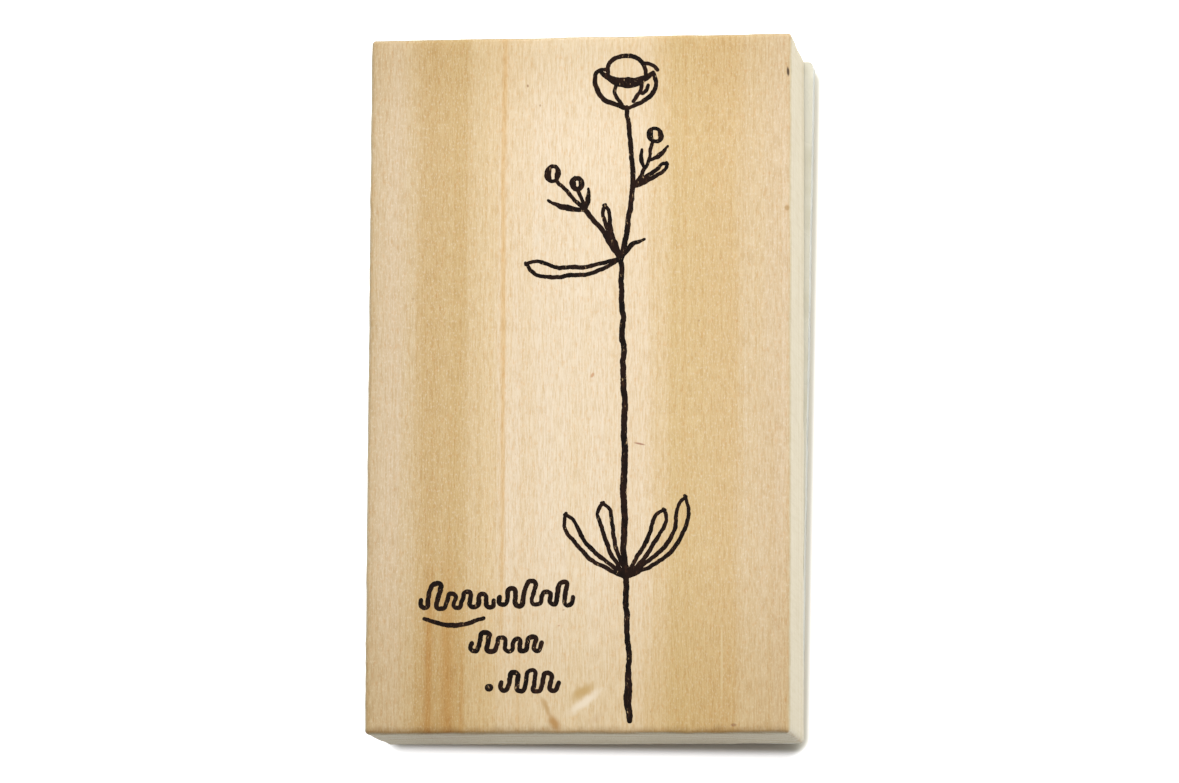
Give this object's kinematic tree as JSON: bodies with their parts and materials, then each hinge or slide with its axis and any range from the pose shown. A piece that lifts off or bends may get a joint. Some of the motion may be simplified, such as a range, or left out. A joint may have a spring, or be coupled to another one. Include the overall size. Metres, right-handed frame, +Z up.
{
  "type": "wood-mounted rubber stamp",
  "caption": "Oblong wood-mounted rubber stamp: an eased softwood block with an inked picture on top, over a foam cushion and a raised rubber die of a flower sprig.",
  "frame": {"origin": "centre of the wood block's outline, on the plane of the printing face that the stamp stands on", "axes": "+Z up from the printing face to the picture on the block's top, +Y along the block towards the flower, +X across it to the right when the picture is upright"},
  "size_m": [0.0586, 0.0948, 0.0254],
  "materials": {
    "wood": "planed bare softwood",
    "ink": "matt dry ink",
    "adhesive": "clear film",
    "foam": "closed-cell foam with cut edges",
    "die_rubber": "vulcanised rubber, faintly ink-stained"
  },
  "bodies": {
    "handle": {"wood_block": "wood", "index_print": "ink", "upper_adhesive": "adhesive", "foam_cushion": "foam"},
    "die": {"lower_adhesive": "adhesive", "rubber_die": "die_rubber"}
  },
  "joints": [
    {"name": "cushion_press", "type": "slide", "parent": "handle", "child": "die", "axis": [0, 0, 1], "range_m": [0, 0.001], "stiffness_N_per_m": 20000, "deforming": ["foam_cushion"]}
  ]
}
